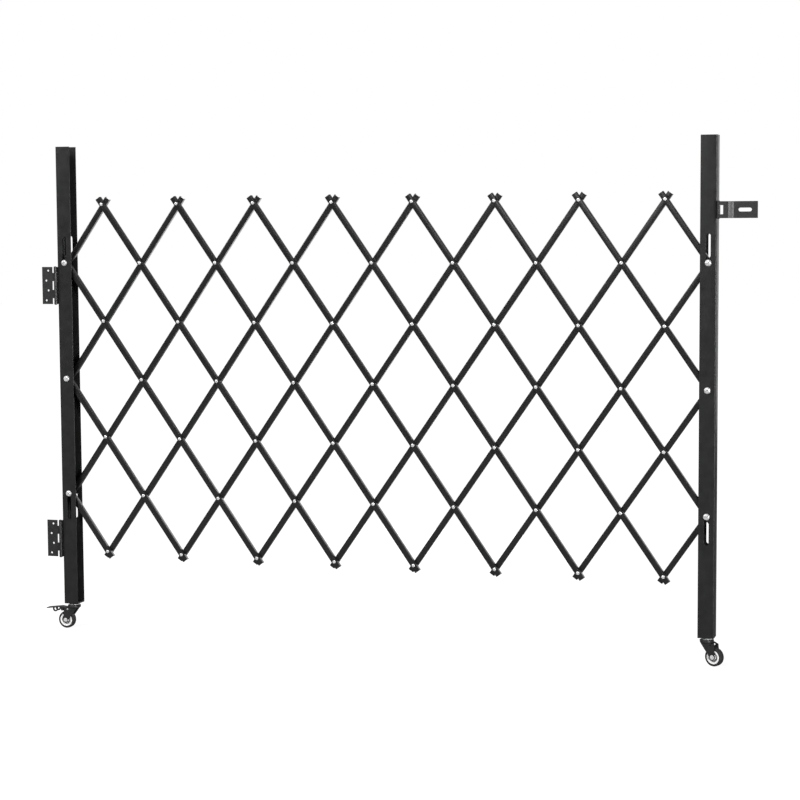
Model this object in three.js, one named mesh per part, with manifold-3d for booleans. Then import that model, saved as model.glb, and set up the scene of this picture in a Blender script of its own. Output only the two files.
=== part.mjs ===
// A folding steel gate: a lattice of riveted channel bars between two channel posts on casters.
// Millimetres, +Z up, the front faces -Y. The origin is where the wall hinge's axis meets the floor.
import * as THREE from "three";
import { mergeVertices } from "three/addons/utils/BufferGeometryUtils.js";
import Module from "manifold-3d";

const wasm = await Module();
wasm.setup();

// Lattice
const barPitch = 187; // from one rivet to the next along a bar
const openAngle = THREE.MathUtils.degToRad(55.25); // bar to the floor, gate fully open
const foldedAngle = THREE.MathUtils.degToRad(87.2); // bar to the floor, gate folded up
const halfColumns = 16; // steps from one post to the other, each one rivet along
const halfRows = 3; // steps from the middle rivets to the tips
const barWidth = 14.4;
const barDepth = 11.7;
const barWall = 1.2;
const barTip = 19; // from the last rivet to the end of the bar
const layerGap = 1.4; // between the front bars and the back bars

// Rivets
const rivetRadius = 2.4;
const rivetHeadRadius = 4.4;
const rivetHeadHeight = 1.9;
const rivetTailRadius = 4;
const rivetTailHeight = 1.6;
const domeShare = 0.6; // top of a domed head, as a share of its foot
const spacerRadius = 4.9;

// Posts and their bolts
const postWidth = 40;
const postDepth = 40;
const postWall = 1.5;
const postHeight = 1219;
const postFoot = 69.5; // the post's lower end above the floor
const middleBoltHeight = 675.5; // above the floor
const slotWidth = 11;
const boltRadius = 4;
const boltHeadRadius = 8.1;
const boltHeadHeight = 4.8;
const boltHeadShare = 0.72;
const boltTail = 2;
const nutRadius = 7.5;
const nutHeight = 6.5;
const bushWall = 1.2;

// Hinges
const hingeHeight = 98.5;
const upperHingeRise = 247.5; // hinge middle above the middle bolt
const lowerHingeRise = -429.5;
const hingeKnuckleShares = [0.156, 0.229, 0.23, 0.229, 0.156];
const leafLength = 40; // from the axis
const leafWall = 2;
const barrelRadius = 4.3;
const pinRadius = 2.2;
const pinHeadRadius = 3.6;
const pinHeadHeight = 1.4;
const knuckleReach = 10.4; // depth of the wall leaf's notches round the other leaf's knuckles
const screwHoleRadius = 2.7;
const screwHeadRadius = 4.2;
const screwHeadHeight = 1.5;
const screwRowShares = [0.1, 0.367, 0.633, 0.9];
const screwInset = 11.6; // outer screws from the leaf's free edge
const screwStagger = 6; // inner screws further in

// Hasp
const haspHeight = 40.4;
const haspDrop = 179; // hasp middle below the post's upper end
const haspKnuckleShares = [0.24, 0.52, 0.24];
const haspBaseLength = 32;
const strapLength = 93; // from the axis
const strapCrestReach = 24;
const strapCrestRise = 2;
const strapFlatReach = 35.5;
const strapNotchReach = 11.6;
const haspSlotInset = 14.2; // slot's outer end from the strap's free end
const haspSlotLength = 31.8;
const haspSlotWidth = 9;

// Casters
const wheelRadius = 23;
const tyreWidth = 16;
const tyreThickness = 5.8;
const tyreChamfer = 2;
const rimWidth = 14;
const rimInnerRadius = 12.4;
const dishRadius = 11;
const dishWidth = 8;
const hubRadius = 7.6;
const hubWidth = 19.4;
const axleRadius = 4;
const axleHeadRadius = 5.6;
const axleHeadHeight = 2.4;
const casterTrail = 21.5; // axle behind the swivel axis
const rightCasterTurn = THREE.MathUtils.degToRad(-21);
const forkInnerWidth = 20;
const forkWall = 2;
const forkHeadRadius = 17.5;
const forkHeadHeight = 7;
const forkTop = 64.5; // above the floor
const forkEyeRadius = 7;
const forkBack = 26; // plate's upper trailing corner behind the swivel axis
const forkBackHeight = 54; // and above the floor
const forkFront = 12;
const forkWaistReach = 2.5; // leading edge behind the swivel axis, half-way down
const forkWaistHeight = 38;
const stemRadius = 5;
const stemFlangeRadius = 14;
const stemFlangeHeight = 2;
const stemRise = 15; // stem's end above the post's foot
const footPlateHeight = 4;
const footNutRadius = 9;
const footNutHeight = 8;

// Brake
const brakePinRadius = 2;
const brakePinReach = 16; // pin behind the swivel axis
const brakePinHeight = 52;
const pedalEnd = 78.5; // pedal's tip behind the swivel axis
const pedalBend = 38;
const pedalTop = 58.8; // above the floor, where the pedal leaves the fork
const pedalTipTop = 53.6;
const pedalWall = 2;
const pedalWidth = 19;
const pedalEyeRadius = 4;
const tabReach = 52.5; // middle of the round tabs behind the swivel axis
const tabHeight = 51.2;
const tabRadius = 7.4;
const tabHoleRadius = 3.5;
const shoeBack = 36;
const shoeFront = 29;
const shoeBottom = 47.3;
const shoeTop = 56.5;

// General
const clearance = 0.3; // between pieces that touch or slide
const overrun = 5; // how far a cut runs past what it cuts
const hexSides = 6;
const fewSides = 8;
const someSides = 12;
const wheelSides = 16;

// Derived sizes
const stepAcross = barPitch * Math.cos(openAngle);
const stepUp = barPitch * Math.sin(openAngle);
const gateWidth = halfColumns * stepAcross; // between the posts' centre lines
const frontFace = -(layerGap / 2 + barDepth); // web face of the front bars
const backFace = layerGap / 2; // web face of the back bars
const postInside = postDepth / 2 - postWall;
const hingeX = -(postWidth / 2 + clearance + barrelRadius);
const hingeY = -(postDepth / 2 + barrelRadius);
const haspX = gateWidth - hingeX;
const screwReach = leafLength - screwInset;
const spacerEnd = backFace - clearance;
const tailStart = backFace + barWall + clearance;

const painted = { color: 0x2b2b2d, roughness: 0.5, metalness: 0.3 };
const galvanised = { color: 0xd8d8d8, roughness: 0.3, metalness: 0.9 };
const blackSteel = { color: 0x242426, roughness: 0.45, metalness: 0.4 };
const whiteNylon = { color: 0xe9e9e9, roughness: 0.5, metalness: 0 };
const blackRubber = { color: 0x1d1d1f, roughness: 0.8, metalness: 0 };

const gate = new THREE.Group();
gate.position.set(-hingeX, -hingeY, 0);

// A circle's radius so that a polygon of this many sides clears a round of the given radius.
function clearing(radius, sides) {
  return (radius + clearance) / Math.cos(Math.PI / sides);
}

// A closed geometry as a solid that can be cut and joined.
function solid(geometry) {
  const bare = new THREE.BufferGeometry();
  bare.setAttribute("position", geometry.getAttribute("position"));
  bare.setIndex(geometry.getIndex());
  const merged = mergeVertices(bare);
  const mesh = new wasm.Mesh({
    numProp: 3,
    vertProperties: merged.getAttribute("position").array,
    triVerts: new Uint32Array(merged.getIndex().array),
  });
  return new wasm.Manifold(mesh);
}

// Each argument is a pair: low and high along that axis.
function block(x, y, z) {
  const geometry = new THREE.BoxGeometry(x[1] - x[0], y[1] - y[0], z[1] - z[0]);
  geometry.translate((x[0] + x[1]) / 2, (y[0] + y[1]) / 2, (z[0] + z[1]) / 2);
  return solid(geometry);
}

// A round or cone along Y at x, z. The radii are those at its low and high ends.
function rodAlongY(x, z, y, radius, sides, highRadius = radius) {
  const geometry = new THREE.CylinderGeometry(highRadius, radius, y[1] - y[0], sides);
  geometry.translate(x, (y[0] + y[1]) / 2, z);
  return solid(geometry);
}

function rodAlongZ(x, y, z, radius, sides) {
  const geometry = new THREE.CylinderGeometry(radius, radius, z[1] - z[0], sides);
  geometry.rotateX(Math.PI / 2);
  geometry.translate(x, y, (z[0] + z[1]) / 2);
  return solid(geometry);
}

// An outline in X and Z, as thick as the pair y.
function plateAcrossY(shape, y) {
  const geometry = new THREE.ExtrudeGeometry(shape, {
    depth: y[1] - y[0],
    bevelEnabled: false,
    curveSegments: fewSides,
  });
  geometry.rotateX(Math.PI / 2);
  geometry.translate(0, y[1], 0);
  return solid(geometry);
}

// An outline in X and Y, as tall as the pair z.
function plateAlongZ(shape, z) {
  const geometry = new THREE.ExtrudeGeometry(shape, {
    depth: z[1] - z[0],
    bevelEnabled: false,
    curveSegments: fewSides,
  });
  geometry.translate(0, 0, z[0]);
  return solid(geometry);
}

// A ring turned about Y. The profile is a closed list of radius and place along Y.
function ringAboutY(profile) {
  const points = [...profile, profile[0]].map(([r, y]) => new THREE.Vector2(r, y));
  return solid(new THREE.LatheGeometry(points, wheelSides));
}

function outline(points) {
  return new THREE.Shape(points.map(([a, b]) => new THREE.Vector2(a, b)));
}

// A pair of places mirrored by hand, low one first.
function handed(hand, low, high) {
  return hand > 0 ? [low, high] : [-high, -low];
}

// Adds a named piece to the gate, or to a group in it, and returns its mesh to be placed.
function piece(name, body, look, parent = gate) {
  const made = body.getMesh();
  const indexed = new THREE.BufferGeometry();
  indexed.setAttribute("position", new THREE.BufferAttribute(made.vertProperties, 3));
  indexed.setIndex(new THREE.BufferAttribute(made.triVerts, 1));
  const geometry = indexed.toNonIndexed();
  geometry.computeVertexNormals();
  const mesh = new THREE.Mesh(geometry, new THREE.MeshStandardMaterial(look));
  mesh.name = name;
  parent.add(mesh);
  return mesh;
}

// Bars: a channel along local X, first pivot at the origin, web towards -Y.
function channelBar(steps, webFace) {
  const ends = [-barTip, steps * barPitch + barTip];
  const inner = barWidth / 2 - barWall;
  const whole = block(ends, [webFace, webFace + barDepth], [-barWidth / 2, barWidth / 2]);
  const hollow = block(
    [ends[0] - overrun, ends[1] + overrun],
    [webFace + barWall, webFace + barDepth + overrun],
    [-inner, inner],
  );
  return whole.subtract(hollow);
}

// A bush for a post's bolt, welded into a bar: joins the bush, then bores it.
function withBush(body, x, y) {
  const bore = clearing(boltRadius, someSides);
  const bush = rodAlongY(x, 0, y, bore + bushWall, someSides);
  const hole = rodAlongY(x, 0, [y[0] - overrun, y[1] + overrun], bore, someSides);
  return body.add(bush).subtract(hole);
}

// A rivet with its domed head on the web, its spacer in the channel and its tail behind the back bar.
function withRivet(body, x) {
  const seat = frontFace + barWall / 2;
  const tail = [tailStart, tailStart + rivetTailHeight];
  const headTop = rivetHeadRadius * domeShare;
  const head = rodAlongY(x, 0, [frontFace - rivetHeadHeight, seat], headTop, fewSides, rivetHeadRadius);
  const spacer = rodAlongY(x, 0, [seat, spacerEnd], spacerRadius, hexSides);
  const shank = rodAlongY(x, 0, [seat, tail[1]], rivetRadius, hexSides);
  const upset = rodAlongY(x, 0, tail, rivetTailRadius, hexSides, rivetTailRadius * domeShare);
  return body.add(head).add(spacer).add(shank).add(upset);
}

function isOnPost(column) {
  return column === 0 || column === halfColumns;
}

function frontBar(column, steps) {
  let body = channelBar(steps, frontFace);
  for (let i = 0; i <= steps; i++) {
    const x = i * barPitch;
    body = isOnPost(column + i)
      ? withBush(body, x, [-(postInside - clearance), spacerEnd])
      : withRivet(body, x);
  }
  return body;
}

function backBar(column, steps) {
  const hole = clearing(rivetRadius, hexSides);
  let body = channelBar(steps, backFace);
  for (let i = 0; i <= steps; i++) {
    const x = i * barPitch;
    body = isOnPost(column + i)
      ? withBush(body, x, [backFace, postInside - clearance])
      : body.subtract(rodAlongY(x, 0, [backFace - overrun, backFace + overrun], hole, hexSides));
  }
  return body;
}

// Where the bars that lean one way start: on the left post, then along the tips.
function barStarts() {
  const starts = [];
  for (let row = halfRows - 1; row >= 1 - halfRows; row -= 2) {
    starts.push({ column: 0, row, steps: row + halfRows });
  }
  for (let column = 1; column < halfColumns; column += 2) {
    starts.push({ column, row: halfRows, steps: Math.min(2 * halfRows, halfColumns - column) });
  }
  return starts;
}

// Front bars fall to the right. Back bars are their mirror image in the middle line and rise.
function addLattice() {
  barStarts().forEach(({ column, row, steps }, i) => {
    const number = String(i + 1).padStart(2, "0");
    const front = piece("front_bar_" + number, frontBar(column, steps), painted);
    front.position.set(column * stepAcross, 0, middleBoltHeight + row * stepUp);
    front.rotation.y = openAngle;
    const back = piece("back_bar_" + number, backBar(column, steps), painted);
    back.position.set(column * stepAcross, 0, middleBoltHeight - row * stepUp);
    back.rotation.y = -openAngle;
  });
}

// A slot through both flanges, for a bolt that slides as the gate folds.
function postSlot(direction) {
  const y = [-postDepth / 2 - overrun, postDepth / 2 + overrun];
  const round = slotWidth / 2;
  const near = 2 * stepUp - boltRadius - clearance + round;
  const far = 2 * barPitch * Math.sin(foldedAngle) + boltRadius + clearance - round;
  const ends = [near, far].map((rise) => middleBoltHeight + direction * rise);
  const straight = block([-round, round], y, [Math.min(...ends), Math.max(...ends)]);
  return ends.reduce((cut, z) => cut.add(rodAlongY(0, z, y, round, someSides)), straight);
}

// A post that opens towards +X, with its middle bolt's hole and two slots.
function channelPost() {
  const z = [postFoot, postFoot + postHeight];
  const y = [-postDepth / 2, postDepth / 2];
  const whole = block([-postWidth / 2, postWidth / 2], y, z);
  const hollow = block(
    [-postWidth / 2 + postWall, postWidth / 2 + overrun],
    [-postInside, postInside],
    [z[0] - overrun, z[1] + overrun],
  );
  const through = [y[0] - overrun, y[1] + overrun];
  const hole = rodAlongY(0, middleBoltHeight, through, clearing(boltRadius, someSides), someSides);
  return whole.subtract(hollow).subtract(hole).subtract(postSlot(1)).subtract(postSlot(-1));
}

// A plate with a welded nut, in the post's lower end, that takes the caster's stem.
function footPlate() {
  const side = postInside - clearance;
  const webSide = postWidth / 2 - postWall - clearance;
  const top = postFoot + footPlateHeight;
  const hole = clearing(stemRadius, someSides);
  return block([-webSide, postWidth / 2], [-side, side], [postFoot, top])
    .add(rodAlongZ(0, 0, [postFoot, top + footNutHeight], footNutRadius, hexSides))
    .subtract(rodAlongZ(0, 0, [postFoot - overrun, top + footNutHeight + overrun], hole, someSides));
}

function bolt() {
  const under = postDepth / 2 + clearance;
  const top = boltHeadRadius * boltHeadShare;
  const head = rodAlongY(0, 0, [-under - boltHeadHeight, -under], top, someSides, boltHeadRadius);
  const shankStart = -under - boltHeadHeight / 2;
  const shankEnd = under + nutHeight + boltTail;
  return head.add(rodAlongY(0, 0, [shankStart, shankEnd], boltRadius, someSides));
}

function nut() {
  const start = postDepth / 2 + clearance;
  const through = [start - overrun, start + nutHeight + overrun];
  return rodAlongY(0, 0, [start, start + nutHeight], nutRadius, hexSides).subtract(
    rodAlongY(0, 0, through, clearing(boltRadius, someSides), someSides),
  );
}

function addPosts() {
  const rows = { top: 2, middle: 0, bottom: -2 };
  for (const [side, x, turn] of [["left", 0, 0], ["right", gateWidth, Math.PI]]) {
    const post = piece(side + "_post", channelPost(), painted);
    post.position.x = x;
    post.rotation.z = turn;
    const plate = piece(side + "_foot_plate", footPlate(), blackSteel);
    plate.position.x = x;
    plate.rotation.z = turn;
    for (const [name, row] of Object.entries(rows)) {
      const z = middleBoltHeight + row * stepUp;
      piece("bolt_" + side + "_" + name, bolt(), galvanised).position.set(x, 0, z);
      piece("nut_" + side + "_" + name, nut(), galvanised).position.set(x, 0, z);
    }
  }
}

// Where each knuckle starts and ends, from shares of the hinge's height.
function knuckleSpans(shares, height) {
  const spans = [];
  let low = -height / 2;
  for (const share of shares) {
    spans.push([low + clearance / 2, low + share * height - clearance / 2]);
    low += share * height;
  }
  return spans;
}

// Screw places on a leaf, in a zigzag: how far from the axis, and how far up.
function screwPlaces() {
  return screwRowShares.map((share, i) => [
    screwReach - (i % 2) * screwStagger,
    (share - 1 / 2) * hingeHeight,
  ]);
}

// A leaf with its knuckles. The axis is the local Z, the leaf runs to -X, its mounting face to hand * Y.
// Between the knuckles it stops short of the axis by the given reach.
function hingeLeaf(height, length, spans, hand, reach) {
  const sheet = handed(hand, barrelRadius - leafWall, barrelRadius);
  let body = block([-length, -reach], sheet, [-height / 2, height / 2]);
  for (const z of spans) {
    body = body
      .add(block([-reach - leafWall, 0], sheet, z))
      .add(rodAlongZ(0, 0, z, barrelRadius, someSides));
  }
  return body.subtract(pinBore(height));
}

function pinBore(height) {
  const z = [-height / 2 - overrun, height / 2 + overrun];
  return rodAlongZ(0, 0, z, clearing(pinRadius, someSides), someSides);
}

function hingePin(height) {
  const end = height / 2 + clearance;
  return rodAlongZ(0, 0, [-end, end], pinRadius, someSides)
    .add(rodAlongZ(0, 0, [end, end + pinHeadHeight], pinHeadRadius, someSides))
    .add(rodAlongZ(0, 0, [-end - pinHeadHeight, -end], pinHeadRadius, someSides));
}

// The leaf that is screwed to the wall: it has the two inner knuckles and open screw holes.
function wallLeaf() {
  const spans = knuckleSpans(hingeKnuckleShares, hingeHeight).filter((span, i) => i % 2 === 1);
  const y = [-barrelRadius - overrun, barrelRadius + overrun];
  return screwPlaces().reduce(
    (body, [reach, z]) => body.subtract(rodAlongY(-reach, z, y, screwHoleRadius, fewSides)),
    hingeLeaf(hingeHeight, leafLength, spans, 1, knuckleReach),
  );
}

// The leaf on the post: three knuckles, and its rivets' heads on the outside.
function postLeaf() {
  const spans = knuckleSpans(hingeKnuckleShares, hingeHeight).filter((span, i) => i % 2 === 0);
  const outside = barrelRadius - leafWall;
  const y = [outside - screwHeadHeight, outside + leafWall / 2];
  const top = screwHeadRadius * domeShare;
  return screwPlaces().reduce(
    (body, [reach, z]) => body.add(rodAlongY(-reach, z, y, top, hexSides, screwHeadRadius)),
    hingeLeaf(hingeHeight, leafLength, spans, 1, barrelRadius + clearance),
  );
}

function addHinges() {
  for (const [name, rise] of [["upper", upperHingeRise], ["lower", lowerHingeRise]]) {
    const hinge = new THREE.Group();
    hinge.position.set(hingeX, hingeY, middleBoltHeight + rise);
    gate.add(hinge);
    piece(name + "_wall_leaf", wallLeaf(), blackSteel, hinge);
    piece(name + "_post_leaf", postLeaf(), blackSteel, hinge).rotation.z = -Math.PI / 2;
    piece(name + "_hinge_pin", hingePin(hingeHeight), blackSteel, hinge);
  }
}

// The strap: a sheet that leaves the barrel, rises to a crest and drops to the wall's plane.
function haspStrap() {
  const half = haspHeight / 2;
  const flat = barrelRadius - leafWall;
  const crest = -barrelRadius - strapCrestRise;
  const profile = outline([
    [0, -barrelRadius],
    [strapCrestReach, crest],
    [strapFlatReach, flat],
    [strapLength, flat],
    [strapLength, barrelRadius],
    [strapFlatReach - leafWall / 2, barrelRadius],
    [strapCrestReach, crest + leafWall],
    [0, leafWall - barrelRadius],
  ]);
  const spans = knuckleSpans(haspKnuckleShares, haspHeight);
  const gap = [spans[1][0] - clearance, spans[1][1] + clearance];
  const across = [-barrelRadius - strapCrestRise - overrun, barrelRadius + overrun];
  const notch = block([-barrelRadius - overrun, strapNotchReach], across, gap);
  const slotEnd = strapLength - haspSlotInset;
  const slotEnds = [slotEnd - haspSlotLength + haspSlotWidth / 2, slotEnd - haspSlotWidth / 2];
  let body = plateAlongZ(profile, [-half, half]);
  for (const z of [spans[0], spans[2]]) {
    body = body.add(rodAlongZ(0, 0, z, barrelRadius, someSides));
  }
  body = body
    .subtract(notch)
    .subtract(pinBore(haspHeight))
    .subtract(block(slotEnds, across, [-haspSlotWidth / 2, haspSlotWidth / 2]));
  for (const x of slotEnds) {
    body = body.subtract(rodAlongY(x, 0, across, haspSlotWidth / 2, someSides));
  }
  return body;
}

// The hasp's base on the post: one knuckle, and two rivets' heads.
function haspBase() {
  const spans = [knuckleSpans(haspKnuckleShares, haspHeight)[1]];
  const outside = barrelRadius - leafWall;
  const y = handed(-1, outside - screwHeadHeight, outside + leafWall / 2);
  const top = screwHeadRadius * domeShare;
  const notchReach = barrelRadius + clearance;
  const reach = (haspBaseLength + notchReach) / 2;
  return [-1 / 4, 1 / 4].reduce(
    (body, share) =>
      body.add(rodAlongY(-reach, share * haspHeight, y, screwHeadRadius, hexSides, top)),
    hingeLeaf(haspHeight, haspBaseLength, spans, -1, notchReach),
  );
}

function addHasp() {
  const hasp = new THREE.Group();
  hasp.position.set(haspX, hingeY, postFoot + postHeight - haspDrop);
  gate.add(hasp);
  piece("hasp_base", haspBase(), blackSteel, hasp).rotation.z = -Math.PI / 2;
  piece("hasp_strap", haspStrap(), blackSteel, hasp);
  piece("hasp_pin", hingePin(haspHeight), blackSteel, hasp);
}

// The caster's pieces stand on the floor, swivel axis on the local Z, wheel trailing to -X.
function casterStem() {
  const bottom = forkTop + clearance;
  const top = postFoot + stemRise;
  return rodAlongZ(0, 0, [bottom, top], stemRadius, someSides).add(
    rodAlongZ(0, 0, [bottom, bottom + stemFlangeHeight], stemFlangeRadius, someSides),
  );
}

// One side plate of the fork: nearly upright at the back, slanting to the axle's eye at the front.
function forkPlate(y) {
  const crown = forkTop - forkHeadHeight;
  const shape = new THREE.Shape();
  shape.moveTo(-forkFront, crown + forkWall);
  shape.lineTo(-forkBack, forkBackHeight);
  shape.lineTo(-casterTrail - forkEyeRadius, wheelRadius);
  shape.absarc(-casterTrail, wheelRadius, forkEyeRadius, Math.PI, 2 * Math.PI, false);
  shape.lineTo(-forkWaistReach, forkWaistHeight);
  shape.lineTo(forkFront, crown);
  shape.lineTo(forkFront, crown + forkWall);
  return plateAcrossY(shape, y);
}

function casterFork() {
  const inner = forkInnerWidth / 2;
  const outer = inner + forkWall;
  const crown = [forkTop - forkHeadHeight, forkTop];
  const across = [-outer - overrun, outer + overrun];
  const axleHole = clearing(axleRadius, someSides);
  const pinHole = clearing(brakePinRadius, someSides);
  return rodAlongZ(0, 0, crown, forkHeadRadius, wheelSides)
    .add(forkPlate([-outer, -inner]))
    .add(forkPlate([inner, outer]))
    .subtract(rodAlongY(-casterTrail, wheelRadius, across, axleHole, someSides))
    .subtract(rodAlongY(-brakePinReach, brakePinHeight, across, pinHole, someSides));
}

function casterAxle() {
  const under = forkInnerWidth / 2 + forkWall + clearance;
  const end = under + axleHeadHeight;
  const top = axleHeadRadius * domeShare;
  return rodAlongY(0, 0, [-end, end], axleRadius * domeShare, someSides)
    .add(rodAlongY(0, 0, [-under, under], axleRadius, someSides))
    .add(rodAlongY(0, 0, [-end, -under], top, someSides, axleHeadRadius))
    .add(rodAlongY(0, 0, [under, end], axleHeadRadius, someSides, top));
}

// Rim, dished web and hub in one, with the axle's bore.
function wheelCore() {
  const rim = wheelRadius - tyreThickness - clearance;
  const bore = clearing(axleRadius, wheelSides);
  return ringAboutY([
    [bore, -hubWidth / 2],
    [hubRadius, -hubWidth / 2],
    [hubRadius, -dishWidth / 2],
    [dishRadius, -dishWidth / 2],
    [rimInnerRadius, -rimWidth / 2],
    [rim, -rimWidth / 2],
    [rim, rimWidth / 2],
    [rimInnerRadius, rimWidth / 2],
    [dishRadius, dishWidth / 2],
    [hubRadius, dishWidth / 2],
    [hubRadius, hubWidth / 2],
    [bore, hubWidth / 2],
  ]);
}

function tyre() {
  const inner = wheelRadius - tyreThickness;
  const shoulder = wheelRadius - tyreChamfer;
  const tread = tyreWidth / 2 - tyreChamfer;
  return ringAboutY([
    [inner, -tyreWidth / 2],
    [shoulder, -tyreWidth / 2],
    [wheelRadius, -tread],
    [wheelRadius, tread],
    [shoulder, tyreWidth / 2],
    [inner, tyreWidth / 2],
  ]);
}

// The brake lever: a bent sheet from its pin to the tip, a round tab on each side, and a shoe over the tyre.
function brakePedal() {
  const half = pedalWidth / 2;
  const y = [-half, half];
  const across = [-half - overrun, half + overrun];
  const arm = outline([
    [-pedalEnd, pedalTipTop],
    [-pedalEnd, pedalTipTop - pedalWall],
    [-pedalBend, pedalTop - pedalWall],
    [-brakePinReach, brakePinHeight - pedalEyeRadius / 2],
    [-brakePinReach, brakePinHeight + pedalEyeRadius],
    [-pedalBend, pedalTop],
  ]);
  const slope = (pedalTop - pedalTipTop) / (pedalEnd - pedalBend);
  const sheetAt = (reach) => pedalTop - slope * (reach - pedalBend) - pedalWall / 2;
  const tab = new THREE.Shape();
  tab.moveTo(-tabReach - tabRadius, sheetAt(tabReach + tabRadius));
  tab.absarc(-tabReach, tabHeight, tabRadius, Math.PI, 2 * Math.PI, false);
  tab.lineTo(-tabReach + tabRadius, sheetAt(tabReach - tabRadius));
  const pinHole = clearing(brakePinRadius, someSides);
  return plateAcrossY(arm, y)
    .add(rodAlongY(-brakePinReach, brakePinHeight, y, pedalEyeRadius, someSides))
    .add(block([-shoeBack, -shoeFront], y, [shoeBottom, shoeTop]))
    .add(plateAcrossY(tab, [-half, pedalWall - half]))
    .add(plateAcrossY(tab, [half - pedalWall, half]))
    .subtract(rodAlongY(-tabReach, tabHeight, across, tabHoleRadius, someSides))
    .subtract(rodAlongY(-brakePinReach, brakePinHeight, across, pinHole, someSides));
}

function brakePin() {
  const end = forkInnerWidth / 2 + forkWall;
  return rodAlongY(0, 0, [-end, end], brakePinRadius, someSides);
}

function addCaster(side, x, turn) {
  const caster = new THREE.Group();
  caster.position.x = x;
  caster.rotation.z = turn;
  gate.add(caster);
  piece(side + "_caster_stem", casterStem(), galvanised, caster);
  piece(side + "_caster_fork", casterFork(), blackSteel, caster);
  const wheel = new THREE.Group();
  wheel.position.set(-casterTrail, 0, wheelRadius);
  caster.add(wheel);
  piece(side + "_caster_axle", casterAxle(), galvanised, wheel);
  piece(side + "_caster_wheel", wheelCore(), whiteNylon, wheel);
  piece(side + "_caster_tyre", tyre(), blackRubber, wheel);
  return caster;
}

addLattice();
addPosts();
addHinges();
addHasp();
const leftCaster = addCaster("left", 0, 0);
addCaster("right", gateWidth, Math.PI + rightCasterTurn);
piece("brake_pedal", brakePedal(), blackSteel, leftCaster);
const pin = piece("brake_pin", brakePin(), galvanised, leftCaster);
pin.position.set(-brakePinReach, 0, brakePinHeight);

export default gate;
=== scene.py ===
"""A folding lattice gate of black steel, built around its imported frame."""

from math import cos, pi, radians, sin

import bmesh
import bpy
from bpy.props import FloatProperty, FloatVectorProperty, IntProperty, PointerProperty
from bpy.types import Operator, Panel, PropertyGroup
from mathutils import Matrix, Vector


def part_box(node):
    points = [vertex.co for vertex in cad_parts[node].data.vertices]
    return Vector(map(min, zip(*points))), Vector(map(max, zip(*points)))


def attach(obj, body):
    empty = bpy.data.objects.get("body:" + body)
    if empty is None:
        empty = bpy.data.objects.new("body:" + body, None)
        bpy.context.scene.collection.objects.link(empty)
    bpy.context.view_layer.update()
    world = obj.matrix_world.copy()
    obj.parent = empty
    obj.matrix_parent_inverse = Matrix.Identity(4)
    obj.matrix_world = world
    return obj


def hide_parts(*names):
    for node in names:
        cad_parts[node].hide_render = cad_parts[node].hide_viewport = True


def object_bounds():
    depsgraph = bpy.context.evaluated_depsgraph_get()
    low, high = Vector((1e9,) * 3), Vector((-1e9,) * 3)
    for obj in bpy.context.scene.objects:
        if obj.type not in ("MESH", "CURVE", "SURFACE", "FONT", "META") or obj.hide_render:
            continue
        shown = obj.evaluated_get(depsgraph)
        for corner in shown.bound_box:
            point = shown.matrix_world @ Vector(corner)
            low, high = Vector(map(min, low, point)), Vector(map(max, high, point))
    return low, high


bl_info = {
    "name": "Folding lattice gate",
    "version": (1, 0, 0),
    "blender": (4, 5, 0),
    "location": "3D View > Sidebar > Gate",
    "description": "Builds a folding steel gate on casters, with its wall hinges and hasp",
    "category": "Object",
}

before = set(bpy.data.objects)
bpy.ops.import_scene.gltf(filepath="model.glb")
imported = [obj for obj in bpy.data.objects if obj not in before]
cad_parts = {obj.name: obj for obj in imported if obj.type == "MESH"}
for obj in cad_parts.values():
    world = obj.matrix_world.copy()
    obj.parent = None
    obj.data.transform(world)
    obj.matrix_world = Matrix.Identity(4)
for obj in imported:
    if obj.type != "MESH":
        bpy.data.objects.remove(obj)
CAD_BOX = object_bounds()


# Sizes and colours that a user would change


def maker(kind, **fixed):
    """Makes properties of one kind from a name, a default and a description."""
    return lambda name, default, text: kind(name=name, default=default, description=text, **fixed)


length = maker(FloatProperty, unit="LENGTH", precision=5)
share = maker(FloatProperty, subtype="FACTOR", min=0, max=1)
power = maker(FloatProperty, subtype="POWER")
millimetres = maker(FloatProperty)
count = maker(IntProperty, min=1)
colour = maker(FloatVectorProperty, subtype="COLOR", size=3, min=0, max=1)
position = maker(FloatVectorProperty, size=3, unit="LENGTH")


def turn(name, degrees, description):
    return maker(FloatProperty, unit="ROTATION", precision=5)(name, radians(degrees), description)


def sized(kind):
    """Makes lengths of one kind, which stands in their name and their description."""
    return lambda name, default, of: length(f"{name} {kind}", default, f"{kind.capitalize()} of {of}")


a_radius, a_width, a_height = map(sized, ("radius", "width", "height"))


def from_axis(name, default, end):
    """How far something lies from the axis of the hinge, hasp or swivel."""
    return length(name, default, f"From the axis to {end}")


class LatticeSizes(PropertyGroup):
    pitch: length("Rivet pitch", 0.187, "From one rivet to the next along a bar")
    angle: turn("Bar angle", 55.25, "Bars to the floor with the gate open")
    columns: count("Columns", 16, "Rivet steps from post to post")
    rows: count("Rows", 3, "Rivet steps from the middle to the tips")
    width: length("Bar width", 0.0144, "Across a bar's web")
    depth: length("Bar depth", 0.0117, "From a bar's web to its flanges' edges")
    wall: length("Bar wall", 0.0012, "Thickness of a bar's sheet")
    bend: length("Bar bend", 0.0018, "Outside radius of a bar's folds")
    tip: length("Bar tip", 0.019, "From the last rivet to the end of a bar")
    gap: length("Layer gap", 0.0014, "Between the falling and the rising bars")


class RivetSizes(PropertyGroup):
    head_radius: a_radius("Head", 0.0044, "a rivet's domed head")
    head_height: a_height("Head", 0.0019, "a rivet's domed head")
    shank_radius: a_radius("Shank", 0.0024, "a rivet's shank")
    spacer_radius: a_radius("Spacer", 0.0049, "the spacer inside a front bar")
    tail_radius: a_radius("Tail", 0.0040, "a rivet's upset tail")
    tail_height: a_height("Tail", 0.0016, "a rivet's upset tail")
    bush_radius: a_radius("Bush", 0.0056, "the bush round a post's bolt")


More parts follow.
